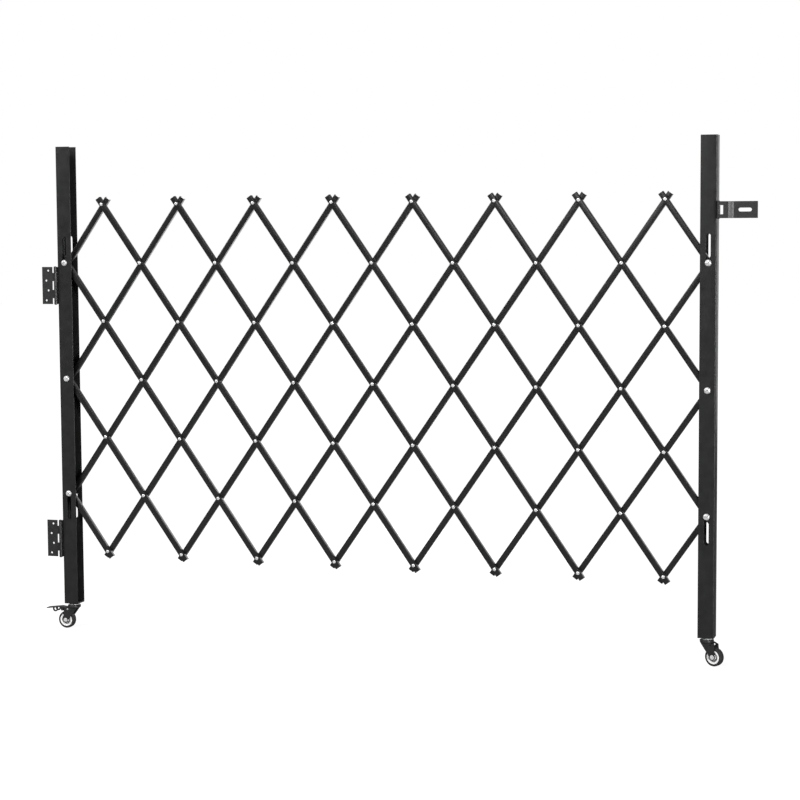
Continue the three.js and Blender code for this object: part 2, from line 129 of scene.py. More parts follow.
class PostSizes(PropertyGroup):
    wall: length("Post wall", 0.0015, "Thickness of a post's sheet")
    bend: length("Post bend", 0.0024, "Outside radius of a post's folds")
    slot_width: a_width("Slot", 0.011, "the slots for the sliding bolts")
    slot_near: length("Slot start", 0.3030, "From the middle bolt to the near end of a slot")
    slot_far: length("Slot end", 0.3779, "From the middle bolt to the far end of a slot")
    bolt_radius: a_radius("Bolt", 0.004, "a post bolt's shank")
    head_radius: a_radius("Bolt head", 0.0081, "a post bolt's head")
    head_height: a_height("Bolt head", 0.0048, "a post bolt's head")
    recess: length("Recess length", 0.0084, "Across the cross recess in a bolt's head")
    thread: length("Thread pitch", 0.00125, "From one turn of the thread to the next")
    nut_width: length("Nut width", 0.013, "Across the flats of a nut")


class HingeSizes(PropertyGroup):
    reach: from_axis("Leaf length", 0.040, "a leaf's free edge")
    wall: length("Leaf wall", 0.002, "Thickness of a leaf")
    barrel: length("Barrel radius", 0.0043, "Outside radius of the rolled barrel")
    notch: from_axis("Notch depth", 0.0104, "the notches in a wall leaf")
    gap: length("Knuckle gap", 0.0003, "Between two knuckles")
    hole: a_radius("Screw hole", 0.0027, "a leaf's screw holes")
    inset: length("Screw inset", 0.0116, "From a leaf's free edge to its outer screws")
    stagger: length("Screw stagger", 0.006, "How much further in every second screw sits")
    screw: a_radius("Rivet head", 0.0042, "the rivets on a post's leaf")
    screw_height: a_height("Rivet head", 0.0015, "the rivets on a post's leaf")
    roll: turn("Roll", 285, "How far the sheet is rolled round the pin")


class HaspSizes(PropertyGroup):
    reach: from_axis("Strap length", 0.093, "the strap's end")
    base: from_axis("Base length", 0.032, "the base's edge")
    crest: from_axis("Crest", 0.024, "the strap's crest")
    rise: length("Crest rise", 0.002, "How far the crest stands before the barrel")
    flat: from_axis("Flat start", 0.0355, "the strap's flat end")
    bend: length("Strap bend", 0.003, "Outside radius of the strap's folds")
    notch: from_axis("Notch depth", 0.0116, "the strap's notch")
    slot_start: from_axis("Slot start", 0.047, "the staple's slot")
    slot_length: length("Slot length", 0.0318, "Length of the staple's slot")
    slot_width: a_width("Slot", 0.009, "the staple's slot")


class CasterSizes(PropertyGroup):
    radius: length("Wheel radius", 0.023, "Outside radius of the tyre")
    tyre_width: a_width("Tyre", 0.016, "the tyre")
    tyre_depth: length("Tyre depth", 0.0058, "Thickness of the tyre")
    shoulder: length("Tyre shoulder", 0.0032, "Rounding of the tyre's edges")
    rim_inner: length("Ring inner radius", 0.0124, "Inner radius of the white ring")
    disc_radius: a_radius("Disc", 0.0121, "the grey disc in the ring")
    hub_radius: a_radius("Hub", 0.0076, "the wheel's hub")
    axle: a_radius("Axle", 0.004, "the axle")
    axle_head: a_radius("Axle head", 0.0056, "the axle's heads")
    trail: from_axis("Trail", 0.0215, "the axle")
    turned: turn("Right caster", 159, "How far the right caster is turned from the left one")
    plate: length("Fork sheet", 0.002, "Thickness of the fork's sheet")
    gap: length("Fork gap", 0.020, "Between the fork's side plates")
    crown: length("Crown height", 0.0645, "Top of the swivel above the floor")
    head: a_radius("Swivel", 0.0175, "the swivel's race")
    head_height: a_height("Swivel", 0.007, "the swivel's race")
    eye: a_radius("Eye", 0.007, "the fork round the axle")
    back: from_axis("Fork back", 0.026, "the fork's back corner")
    back_height: a_height("Back", 0.054, "the fork's back corner above the floor")
    front: from_axis("Fork front", 0.012, "the fork's front edge")
    waist: length("Waist reach", 0.0025, "How far behind the swivel's axis the fork's waist lies")
    waist_height: a_height("Waist", 0.038, "the fork's waist above the floor")
    stem: a_radius("Stem", 0.005, "the threaded stem")


class BrakeSizes(PropertyGroup):
    pin_reach: from_axis("Pin reach", 0.016, "the brake's pin")
    pin_height: a_height("Pin", 0.052, "the brake's pin above the floor")
    pin: a_radius("Pin", 0.002, "the brake's pin")
    width: a_width("Pedal", 0.019, "the pedal")
    fold: length("Pedal fold", 0.002, "Outside radius of the pedal's fold")
    wall: length("Pedal sheet", 0.002, "Thickness of the pedal's sheet")
    tip: from_axis("Tip reach", 0.0785, "the pedal's tip")
    tip_height: length("Tip height", 0.0536, "Top of the pedal's tip above the floor")
    bend: from_axis("Bend reach", 0.038, "the pedal's bend")
    bend_height: length("Bend height", 0.0588, "Top of the pedal's bend above the floor")
    tab_reach: from_axis("Tab reach", 0.0525, "the round tabs")
    tab_height: length("Tab height", 0.0512, "Middle of the round tabs above the floor")
    tab_radius: a_radius("Tab", 0.0074, "the round tabs")
    tab_hole: length("Tab hole", 0.0035, "Radius of the holes in the tabs")
    shoe_back: from_axis("Shoe back", 0.036, "the shoe's back")
    shoe_front: from_axis("Shoe front", 0.029, "the shoe's front")
    shoe_bottom: length("Shoe bottom", 0.0473, "Bottom of the brake's shoe above the floor")


class GateColours(PropertyGroup):
    paint: colour("Bar paint", (0.0060, 0.0060, 0.0064), "Powder coat of the bars")
    post: colour("Post paint", (0.0165, 0.0165, 0.0170), "Powder coat of the posts")
    hardware: colour("Hardware paint", (0.0160, 0.0160, 0.0165), "Black finish of hinges, hasp and casters")
    zinc: colour("Zinc", (0.76, 0.76, 0.77), "Plating of rivets, bolts and axles")
    nylon: colour("Nylon", (0.94, 0.94, 0.93), "Ring and hub of the wheels")
    disc: colour("Disc", (0.17, 0.17, 0.175), "Dished disc of the wheels")
    rubber: colour("Rubber", (0.016, 0.016, 0.017), "Tread of the wheels")
    floor: colour("Floor", (0.3, 0.3, 0.3), "Floor, before the white that only the camera sees")


class ViewSizes(PropertyGroup):
    position: position("Camera", (2.4846, -4.8826, 1.0794), "Where the camera stands")
    yaw: turn("Yaw", 17.394, "How far the camera is turned from the gate's normal")
    pitch: turn("Pitch", 4.935, "How far the camera looks down")
    roll: turn("Roll", -0.345, "How far the camera is tilted")
    lens: millimetres("Lens", 91.57, "Focal length in millimetres")
    sensor: millimetres("Sensor", 36, "Sensor width in millimetres")
    key: power("Key light", 740, "Power of the key light")
    fill: power("Fill light", 95, "Power of the fill light")
    glow: power("Glow", 11, "Power of the soft light near the camera")
    rim: power("Rim", 11, "Power of the soft light behind the gate")
    top: power("Top light", 330, "Power of the light from above")
    edge: power("Edge", 4, "Power of the light behind the right post")
    front_level: share("Front level", 0.16, "Level of the soft light from the front")
    back_level: share("Back level", 0.42, "Level of the soft light from behind")
    shadow: share("Floor shadow", 0.12, "How much of the shadow shows on the floor")


class GateSettings(PropertyGroup):
    lattice: PointerProperty(type=LatticeSizes)
    rivets: PointerProperty(type=RivetSizes)
    posts: PointerProperty(type=PostSizes)
    hinges: PointerProperty(type=HingeSizes)
    hasp: PointerProperty(type=HaspSizes)
    casters: PointerProperty(type=CasterSizes)
    brake: PointerProperty(type=BrakeSizes)
    colours: PointerProperty(type=GateColours)
    view: PointerProperty(type=ViewSizes)


def gate():
    return bpy.context.scene.gate_settings


# Shaping


ROUND = 32  # sides of a round piece
LITTLE_ROUND = 20  # sides of a small round piece
RACE_ROUND, RING_ROUND, TYRE_ROUND = 40, 48, 56  # sides of the casters' round pieces
FOLD_STEPS = 4  # faces across a fold
ROLL_STEPS = 18  # faces round a rolled barrel
END_STEPS = 10  # faces round a slot's end
EYE_STEPS = 12  # faces round a fork's eye or a brake's tab
SHARP = radians(32)  # edges sharper than this are folded or softened
THIN_EDGE, SHEET_EDGE, HEAVY_EDGE = 0.0001, 0.0002, 0.0003  # how far edges are softened
SOFT_STEPS = 2  # faces across a softened edge
TINY = 1e-7  # points nearer than this are one
OVERRUN = 0.003  # how far a cut runs past what it cuts


def shifted(x=0, y=0, z=0):
    return Matrix.Translation((x, y, z))


def rotated(angle, axis="Z"):
    return Matrix.Rotation(angle, 4, axis)


ALONG_X = Matrix(((0, 0, 1, 0), (1, 0, 0, 0), (0, 1, 0, 0), (0, 0, 0, 1)))  # Z to X, X to Y, Y to Z
TO_FRONT = rotated(pi / 2, "X")  # Z to the front
QUARTER_BACK = rotated(-pi / 2)  # X to the front
FLIPPED = Matrix.Scale(-1, 4, (0, 1, 0))  # front and back exchanged


def arc(centre, radius, start, sweep, steps):
    """Points on an arc, angles in radians, both ends included."""
    angles = [start + sweep * i / steps for i in range(steps + 1)]
    return [(centre[0] + radius * cos(a), centre[1] + radius * sin(a)) for a in angles]


def scaled(shape, radius, start, height):
    """A profile's radius and height pairs, from a shape given in shares of a radius and a height."""
    return [(r * radius, start + h * height) for r, h in shape]


def mirrored(half):
    """A profile on both sides of its middle plane, from its upper half."""
    return half + [(r, -z) for r, z in reversed(half)]


def chain(bm, points):
    """New points, with an edge from each to the next."""
    verts = [bm.verts.new(p) for p in points]
    return verts, [bm.edges.new(pair) for pair in zip(verts, verts[1:])]


def turned(profile, sides=ROUND):
    """A solid turned about Z from radius and height pairs. A ring closes on itself."""
    bm = bmesh.new()
    verts, edges = chain(bm, [(r, 0, z) for r, z in profile])
    if min(r for r, z in profile) > 0:
        edges.append(bm.edges.new((verts[-1], verts[0])))
    bmesh.ops.spin(
        bm, geom=verts + edges, cent=(0, 0, 0), axis=(0, 0, 1), angle=2 * pi, steps=sides, use_merge=True
    )
    bmesh.ops.remove_doubles(bm, verts=bm.verts, dist=TINY)
    bmesh.ops.recalc_face_normals(bm, faces=bm.faces)
    return bm


def block(low, high):
    """A box between two corners."""
    bm = bmesh.new()
    low, high = Vector(low), Vector(high)
    size = Matrix.Diagonal((*(high - low), 1))
    bmesh.ops.create_cube(bm, size=1, matrix=shifted(*(low + high) / 2) @ size)
    return bm


def raise_new(bm, drawn, height):
    """Lifts the points among newly drawn geometry."""
    tops = [v for v in drawn if isinstance(v, bmesh.types.BMVert)]
    bmesh.ops.translate(bm, verts=tops, vec=(0, 0, height))


def slab(outline, low, high):
    """An outline in X and Y, drawn out along Z from low to high."""
    bm = bmesh.new()
    face = bm.faces.new([bm.verts.new((x, y, low)) for x, y in outline])
    raise_new(bm, bmesh.ops.extrude_face_region(bm, geom=[face])["geom"], high - low)
    bmesh.ops.recalc_face_normals(bm, faces=bm.faces)
    return bm


def folded_sheet(path, low, high, wall, bend):
    """A sheet drawn out along Z from low to high. The path is its face, with the wall to its right."""
    bm = bmesh.new()
    edges = chain(bm, [(x, y, low) for x, y in path])[1]
    raise_new(bm, bmesh.ops.extrude_edge_only(bm, edges=edges)["geom"], high - low)
    bm.normal_update()
    folds = [e for e in bm.edges if len(e.link_faces) == 2 and abs(e.calc_face_angle_signed()) > SHARP]
    if folds:
        bmesh.ops.bevel(
            bm, geom=folds, offset=bend, segments=FOLD_STEPS, profile=0.5, affect="EDGES", material=-1
        )
    bm.normal_update()
    bm.faces.ensure_lookup_table()
    (x0, y0), (x1, y1) = path[0], path[1]
    right = Vector((y1 - y0, x0 - x1, 0))
    start = Vector((x0, y0, (low + high) / 2))
    first = min(bm.faces, key=lambda f: (f.calc_center_median() - start).length)
    if first.normal.dot(right) > 0:
        bmesh.ops.reverse_faces(bm, faces=bm.faces)
    bmesh.ops.solidify(bm, geom=bm.faces[:], thickness=wall)
    bmesh.ops.recalc_face_normals(bm, faces=bm.faces)
    return bm


def moved(bm, matrix):
    """The same mesh at another place."""
    bmesh.ops.transform(bm, matrix=matrix, verts=bm.verts)
    if matrix.determinant() < 0:
        bmesh.ops.reverse_faces(bm, faces=bm.faces)
    return bm


def mesh_of(name, bm):
    """The drawn shape as a mesh of its own."""
    mesh = bpy.data.meshes.new(name)
    bm.to_mesh(mesh)
    bm.free()
    return mesh


def gathered(solids):
    """Several closed solids in one mesh."""
    whole = bmesh.new()
    for solid in solids:
        passing = mesh_of("passing", solid)
        whole.from_mesh(passing)
        bpy.data.meshes.remove(passing)
    return whole


def placed(name, data):
    """A new object in the scene."""
    made = bpy.data.objects.new(name, data)
    bpy.context.scene.collection.objects.link(made)
    return made


def repeated(make, places):
    """One solid at each place, in one mesh."""
    return gathered([moved(make(), shifted(*place)) for place in places])


def worked(bm, tools, operation="DIFFERENCE"):
    """Cuts the tools out of a solid, joins them to it, or keeps what they share with it."""
    body, *cutters = [placed("work", mesh_of("work", solid)) for solid in (bm, *tools)]
    for tool in cutters:
        step = body.modifiers.new("work", "BOOLEAN")
        step.operation = operation
        step.solver = "EXACT"
        step.object = tool
    graph = bpy.context.evaluated_depsgraph_get()
    shape = bpy.data.meshes.new_from_object(body.evaluated_get(graph))
    result = bmesh.new()
    result.from_mesh(shape)
    for mesh in (shape, *(used.data for used in (body, *cutters))):
        bpy.data.meshes.remove(mesh)  # and the object that shows it
    bmesh.ops.remove_doubles(result, verts=result.verts, dist=TINY)
    return result


def piece(name, bm, body, look, softened=0, *stands_for):
    """A finished piece that rides on a body, with softened edges, and stands for nodes of the frame."""
    mesh = mesh_of(name, bm)
    mesh.shade_smooth()
    mesh.set_sharp_from_angle(angle=SHARP)
    mesh.materials.append(finish(look))
    made = placed(name, mesh)
    if softened:
        soft = made.modifiers.new("Softened edges", "BEVEL")
        soft.width = softened
        soft.segments = SOFT_STEPS
        soft.limit_method = "ANGLE"
        soft.angle_limit = SHARP
        soft.harden_normals = True
    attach(made, body)
    if stands_for:
        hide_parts(*stands_for)


def rod(radius, low, high):
    """A plain round along Z."""
    return turned([(0, low), (radius, low), (radius, high), (0, high)], LITTLE_ROUND)


def cross_rod(radius, reach, x=0, z=0):
    """A plain round along Y, out to a reach at the front and the back."""
    return moved(rod(radius, -reach, reach), shifted(x, 0, z) @ TO_FRONT)


def slot_cutter(half_width, low, high, lean, reach):
    """A cutter for a slot with round ends, along X, or along Z with a lean of a quarter turn."""
    outline = []
    for at, side in ((high - half_width, -1), (low + half_width, 1)):
        centre = (at * cos(lean), at * sin(lean))
        outline += arc(centre, half_width, lean + side * pi / 2, pi, END_STEPS)
    return moved(slab(outline, -reach, reach), TO_FRONT)


def middle(part):
    """The middle of a part's box in the frame."""
    low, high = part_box(part)
    return (low + high) / 2


def size_of(part):
    """How far a part's box runs along X, Y and Z."""
    low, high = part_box(part)
    return high - low


# Finishes


COAT_ROUGHNESS = 0.22
GRAIN_ROUGHNESS = 0.04  # how far the grain moves the roughness
BUMP_STRENGTH = 0.6
PATCH_DETAIL, GRAIN_DETAIL = 4, 2  # finer layers in each noise
FINISHES = {
    "black_bar_coat": ("bar_paint", "paint", (0.26, 0.34), {"coat": 0.6}),
    "black_post_coat": (
        "post_paint", "post", (0.30, 0.38), {"grain": 1200, "relief": 0.00002, "gloss": 0.35},
    ),
    "black_hardware": (
        "hardware_black", "hardware", (0.40, 0.50), {"patch": 90, "relief": 0.00002, "coat": 0.1},
    ),
    "bright_zinc": (
        "zinc", "zinc", (0.20, 0.34), {"metallic": 0.35, "shift": 0.08, "patch": 300, "grain": 3000},
    ),
    "white_nylon": ("white_wheel", "nylon", (0.34, 0.46), {"shift": 0.03, "patch": 120}),
    "grey_disc": ("white_wheel", "disc", (0.36, 0.5), {"shift": 0.08, "patch": 200}),
    "tyre_rubber": (
        "tyre", "rubber", (0.62, 0.78), {"shift": 0.25, "patch": 160, "grain": 2200, "relief": 0.00003},
    ),
}  # each one's slot, colour, least and most roughness, and what else differs


def feed(tree, taker, values):
    """Links each socket to another one, or to a node's first output, or sets it to a constant."""
    for key, value in values.items():
        if isinstance(value, bpy.types.Node):
            value = value.outputs[0]
        if isinstance(value, bpy.types.NodeSocket):
            tree.links.new(value, taker.inputs[key])
        else:
            taker.inputs[key].default_value = value


def add_node(tree, kind, values=(), **settings):
    """A new node of a kind, with its settings and what its sockets take."""
    made = tree.nodes.new("ShaderNode" + kind)
    for name, value in settings.items():
        setattr(made, name, value)
    feed(tree, made, dict(values))
    return made


def noise(tree, place, scale, detail):
    """A noise from 0 to 1, its patches about 1 / scale metres across."""
    return add_node(tree, "TexNoise", {"Vector": place, "Scale": scale, "Detail": detail})


def ranged(tree, value, low, high, from_low=0.3, from_high=0.7):
    """A value taken from one range to another, and held at its ends."""
    limits = {"From Min": from_low, "From Max": from_high, "To Min": low, "To Max": high}
    return add_node(tree, "MapRange", {"Value": value, **limits})


def mottled(
    name, base, rough, metallic=0, shift=0.15, patch=45, grain=1400, relief=0.00001, gloss=0.5, coat=0
):
    """A finish with slow patches in colour and roughness, and a fine grain in relief."""
    material = bpy.data.materials.new(name)
    material.use_nodes = True
    tree = material.node_tree
    place = add_node(tree, "TexCoord").outputs["Object"]
    patches, fine = noise(tree, place, patch, PATCH_DETAIL), noise(tree, place, grain, GRAIN_DETAIL)
    dark, light = ([*(min(1, c * (1 + way * shift)) for c in base), 1] for way in (-1, 1))
    colours = {"Factor": ranged(tree, patches, 0, 1), "A": dark, "B": light}
    roughness = {0: ranged(tree, patches, *rough), 1: ranged(tree, fine, -GRAIN_ROUGHNESS, GRAIN_ROUGHNESS)}
    bump = {"Strength": BUMP_STRENGTH, "Distance": relief, "Height": fine}
    feed(tree, tree.nodes["Principled BSDF"], {
        "Base Color": add_node(tree, "Mix", colours, data_type="RGBA").outputs["Result"],
        "Roughness": add_node(tree, "Math", roughness, operation="ADD"),
        "Normal": add_node(tree, "Bump", bump),
        "Metallic": metallic,
        "Specular IOR Level": gloss,
        "Coat Weight": coat,
        "Coat Roughness": COAT_ROUGHNESS,
    })
    return material


def finish(look):
    """One of the gate's finishes, made at its first use."""
    found = bpy.data.materials.get(look)
    if found:
        return found
    tone, rough, settings = FINISHES[look][1:]
    return mottled(look, getattr(gate().colours, tone), rough, **settings)


# Lattice


def lattice_point(column, row):
    """The middle of a crossing, counted from the left post's middle bolt."""
    sizes = gate().lattice
    start = middle("bolt_left_middle")
    centre = middle("left_post")
    across = sizes.pitch * cos(sizes.angle)
    up = sizes.pitch * sin(sizes.angle)
    return Vector((start.x + column * across, centre.y, start.z + row * up))


def falling_starts():
    """Where each falling bar starts, and over how many rivets it runs."""
    sizes = gate().lattice
    starts = [(0, row, row + sizes.rows) for row in range(sizes.rows - 1, -sizes.rows, -2)]
    for column in range(1, sizes.columns, 2):
        starts.append((column, sizes.rows, min(2 * sizes.rows, sizes.columns - column)))
    return starts


def bar_place(column, row, falling):
    """A bar's own X runs from its first rivet to its last."""
    sizes = gate().lattice
    lean = sizes.angle if falling else -sizes.angle
    return shifted(*lattice_point(column, row)) @ rotated(lean, "Y")


def on_post(column):
    return column in (0, gate().lattice.columns)


def front_face():
    """Where the falling bars' webs lie, from the lattice's middle plane."""
    sizes = gate().lattice
    return -(sizes.gap / 2 + sizes.depth)


def bush(low, high):
    """A bush round a post's bolt, from low to high across the gate."""
    outer, inner = gate().rivets.bush_radius, gate().posts.bolt_radius + gate().hinges.gap
    profile = [(inner, -high), (outer, -high), (outer, -low), (inner, -low)]
    return moved(turned(profile, LITTLE_ROUND), TO_FRONT)


def channel_bar(steps, web):
    """A bar with its web's face at web across the gate."""
    sizes = gate().lattice
    half = sizes.width / 2
    path = [(web + sizes.depth, -half), (web, -half), (web, half), (web + sizes.depth, half)]
    end = steps * sizes.pitch + sizes.tip
    return moved(folded_sheet(path, -sizes.tip, end, sizes.wall, sizes.bend), ALONG_X)


class GATE_OT_bars(Operator):
    """Folds the channel bars of the lattice"""

    bl_idname = "gate.bars"
    bl_label = "Lattice bars"

    def execute(self, context):
        sizes = gate().lattice
        loose, back_face = gate().hinges.gap, sizes.gap / 2
        reach = size_of("left_post").y / 2 - gate().posts.wall - loose
        layers = (
            ("falling", "front", front_face(), (-reach, back_face - loose)),
            ("rising", "back", back_face, (back_face, reach)),
        )
        for number, (column, row, steps) in enumerate(falling_starts(), 1):
            for lean, layer, web, span in layers:
                ends = [(i * sizes.pitch,) for i in range(steps + 1) if on_post(column + i)]
                bar = gathered([channel_bar(steps, web), repeated(lambda: bush(*span), ends)])
                start = row if lean == "falling" else -row
                moved(bar, bar_place(column, start, lean == "falling"))
                part = f"{layer}_bar_{number:02d}"
                piece(f"{lean}_bar_{number:02d}", bar, part, "black_bar_coat", SHEET_EDGE, part)
        return {"FINISHED"}


HEAD_RIM = 0.0004  # straight rim under a rivet's dome
HEAD_STEPS = 5  # faces up a rivet's dome
UPSET_TAIL = [(1, 0), (1, 0.4), (0.82, 0.8), (0.45, 1), (0, 0.85)]  # shares of radius and height


def rivet():
    """A rivet along Y: domed head on the web, spacer in the channel, upset tail behind."""
    sizes, bars, loose = gate().rivets, gate().lattice, gate().hinges.gap
    seat, middle_face = -front_face(), -bars.gap / 2
    tail = middle_face - bars.wall - loose
    steps = [pi / 2 * (1 - i / HEAD_STEPS) for i in range(HEAD_STEPS + 1)]
    dome = [(cos(a), sin(a)) for a in steps]
    dome[0] = (0, 1)
    profile = scaled(dome, sizes.head_radius, seat + HEAD_RIM, sizes.head_height - HEAD_RIM)
    profile += [
        (sizes.head_radius, seat - bars.wall / 2),
        (sizes.spacer_radius, seat - bars.wall / 2),
        (sizes.spacer_radius, middle_face + loose),
        (sizes.shank_radius, middle_face + loose),
        (sizes.shank_radius, tail),
    ]
    profile += scaled(UPSET_TAIL, sizes.tail_radius, tail, -sizes.tail_height)
    return moved(turned(profile, LITTLE_ROUND), TO_FRONT)


class GATE_OT_rivets(Operator):
    """Sets the rivets where the bars cross"""

    bl_idname = "gate.rivets"
    bl_label = "Rivets"

    def execute(self, context):
        sizes = gate().lattice
        for number, (column, row, steps) in enumerate(falling_starts(), 1):
            places = [(i * sizes.pitch,) for i in range(steps + 1) if not on_post(column + i)]
            rivets = moved(repeated(rivet, places), bar_place(column, row, True))
            piece(f"rivets_{number:02d}", rivets, f"front_bar_{number:02d}", "bright_zinc")
        return {"FINISHED"}


# Posts and their bolts


def post_axis(side):
    """The foot of a post's middle line, on the floor."""
    centre = middle(side + "_post")
    return shifted(centre.x, centre.y)


def post_body(side):
    """A post's channel about its own centre line, open towards the lattice."""
    sizes = gate().posts
    low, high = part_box(side + "_post")
    half_x, half_y, _ = (high - low) / 2
    path = [(half_x, -half_y), (-half_x, -half_y), (-half_x, half_y), (half_x, half_y)]
    bm = folded_sheet(path, low.z, high.z, sizes.wall, sizes.bend)
    cutters = [cross_rod(sizes.bolt_radius + gate().hinges.gap, 2 * half_y)]
    for near, far in ((sizes.slot_near, sizes.slot_far), (-sizes.slot_far, -sizes.slot_near)):
        cutters.append(slot_cutter(sizes.slot_width / 2, near, far, pi / 2, 4 * half_y))
    lift = shifted(z=middle(f"bolt_{side}_middle").z)
    return worked(bm, [moved(c, lift) for c in cutters])


class GATE_OT_posts(Operator):
    """Folds the two channel posts and slots their flanges"""

    bl_idname = "gate.posts"
    bl_label = "Posts"

    def execute(self, context):
        for side, facing in (("left", 0), ("right", pi)):
            post = side + "_post"
            channel = moved(post_body(side), post_axis(side) @ rotated(facing))
            piece(side + "_channel", channel, post, "black_post_coat", HEAVY_EDGE, post)
            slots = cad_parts[side + "_foot_plate"].data.materials
            slots.clear()
            slots.append(finish("black_hardware"))
        return {"FINISHED"}


PAN_HEAD = [(0, 1), (0.45, 0.97), (0.72, 0.84), (0.90, 0.60), (0.985, 0.32), (1, 0.14), (0.97, 0)]
THREAD = [(0, 0), (0, 0.3), (0.4, 0.65)]  # one turn's depth and fall, in pitches
THREAD_END = 0.8  # a threaded end's radius, as a share of the shank's
RECESS_DEPTH, RECESS_ARM = 0.7, 0.13  # shares of the head's height, and of the recess's length
RECESS_TURN = radians(20)
CHAMFER, CHAMFER_SLOPE = 0.55, 2.2  # share of a nut's corner that is cut, and its run to its rise


def threaded(radius, low, high):
    """The profile of a threaded shank's side, from under its upper edge down to low."""
    pitch = gate().posts.thread
    turns = max(1, int((high - low) / pitch))
    tops = [high - i * (high - low) / turns for i in range(turns)]
    rows = [(radius - deep * pitch, top - fall * pitch) for top in tops for deep, fall in THREAD]
    return rows[1:]


def span_forward(part):
    """How far a part's front and its back lie before the lattice's middle plane."""
    low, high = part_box(part)
    centre = middle("left_post").y
    return centre - low.y, centre - high.y


def post_bolt():
    """A pan head bolt along Y with a cross recess, about the lattice's middle plane."""
    sizes = gate().posts
    head_top, tail = span_forward("bolt_left_middle")
    under, shank_end = head_top - sizes.head_height, span_forward("nut_left_middle")[0]
    profile = scaled(PAN_HEAD, sizes.head_radius, under, sizes.head_height)
    profile += [(sizes.bolt_radius, under), (sizes.bolt_radius, shank_end)]
    profile += threaded(sizes.bolt_radius, tail, shank_end)
    bolt = turned(profile + [(sizes.bolt_radius * THREAD_END, tail), (0, tail)])
    arm, narrow = sizes.recess / 2, sizes.recess * RECESS_ARM
    deep, top = head_top - sizes.head_height * RECESS_DEPTH, head_top + OVERRUN
    arms = [block((-x, -y, deep), (x, y, top)) for x, y in ((arm, narrow), (narrow, arm))]
    return moved(worked(bolt, arms), TO_FRONT @ rotated(RECESS_TURN))


def post_nut():
    """A hexagon nut along Y with chamfered corners."""
    sizes = gate().posts
    end, start = span_forward("nut_left_middle")
    corner = sizes.nut_width / 2 / cos(pi / 6)
    nut = slab(arc((0, 0), corner, pi / 6, pi * 5 / 3, 5), start, end)
    chamfer = (corner - sizes.nut_width / 2) * CHAMFER
    inner = corner - CHAMFER_SLOPE * chamfer
    profile = [(0, start), (inner, start), (corner, start + chamfer)]
    profile += [(corner, end - chamfer), (inner, end), (0, end)]
    nut = worked(nut, [turned(profile)], "INTERSECT")
    bore = rod(sizes.bolt_radius, start - OVERRUN, end + OVERRUN)
    return moved(worked(nut, [bore]), TO_FRONT)


class GATE_OT_post_bolts(Operator):
    """Turns the bolts and nuts that hold the lattice in the posts"""

    bl_idname = "gate.post_bolts"
    bl_label = "Post bolts"

    riders = {
        "left_middle": "left_post",
        "right_middle": "right_post",
        "left_top": "front_bar_01",
        "left_bottom": "front_bar_03",
        "right_bottom": "front_bar_09",
        "right_top": "front_bar_11",
    }

    def execute(self, context):
        for place, body in self.riders.items():
            at = middle("bolt_" + place)
            at.y = middle("left_post").y
            for kind, made in (("bolt", post_bolt()), ("nut", post_nut())):
                part = f"{kind}_{place}"
                moved(made, shifted(*at))
                piece(f"zinc_{part}", made, body, "bright_zinc", THIN_EDGE, part)
        return {"FINISHED"}


# Hinges and hasp


HINGE_SHARES = (0.156, 0.229, 0.23, 0.229, 0.156)  # each knuckle's share of a hinge's height
HASP_SHARES = (0.24, 0.52, 0.24)
SCREW_ROWS = (0.1, 0.367, 0.633, 0.9)  # heights of a leaf's screws, as shares of its own
HASP_ROWS = (0.25, 0.75)
FLAT_HEAD = [(0, 1), (0.5, 0.9), (0.8, 0.66), (0.96, 0.3), (1, 0), (1, -0.4), (0, -0.4)]
PIN_HEAD = [(0, 1.4), (1.6, 1.3), (2.8, 0.95), (3.5, 0.35), (3.6, 0), (2.2, 0)]  # millimetres


def knuckle_spans(height, shares):
    """Where each knuckle starts and ends, counted from the middle."""
    spans, start = [], -height / 2
    for part in shares:
        spans.append((start, start + part * height))
        start += part * height
    return spans


def knuckle_cuts(spans, mine, reach):
    """Cutters for the knuckles that belong to the other leaf, out to a reach from the axis."""
    sizes = gate().hinges
    side = sizes.barrel + OVERRUN
    cuts = []
    for i, (low, high) in enumerate(spans):
        if i % 2 == mine:
            continue
        bottom = low - (OVERRUN if i == 0 else sizes.gap / 2)
        top = high + (OVERRUN if i == len(spans) - 1 else sizes.gap / 2)
        cuts.append(block((-reach, -side, bottom), (side, side, top)))
    return cuts


def rolled_leaf(reach, height, spans, mine, notch, holes=()):
    """A leaf that runs to -X from its barrel, its mounting face to +Y, about the hinge's axis."""
    sizes = gate().hinges
    path = [(-reach, sizes.barrel)] + arc((0, 0), sizes.barrel, pi / 2, -sizes.roll, ROLL_STEPS)
    bm = folded_sheet(path, -height / 2, height / 2, sizes.wall, 0)
    bores = [cross_rod(sizes.hole, sizes.barrel + OVERRUN, x, z) for x, _, z in holes]
    return worked(bm, knuckle_cuts(spans, mine, notch) + bores)


def screw_places(height):
    """Where a leaf's screws or rivets sit, in its middle plane."""
    sizes = gate().hinges
    outer = -(sizes.reach - sizes.inset)
    return [(outer + (i % 2) * sizes.stagger, 0, (row - 0.5) * height) for i, row in enumerate(SCREW_ROWS)]


def rivet_head():
    """A flat domed head on a leaf's outside."""
    sizes = gate().hinges
    profile = scaled(FLAT_HEAD, sizes.screw, sizes.wall - sizes.barrel, sizes.screw_height)
    return moved(turned(profile, LITTLE_ROUND), TO_FRONT)


def hinge_pin(height):
    """A pin with a low domed head at each end."""
    end = height / 2 + gate().hinges.gap
    return turned(mirrored(scaled(PIN_HEAD, 0.001, end, 0.001)), LITTLE_ROUND)


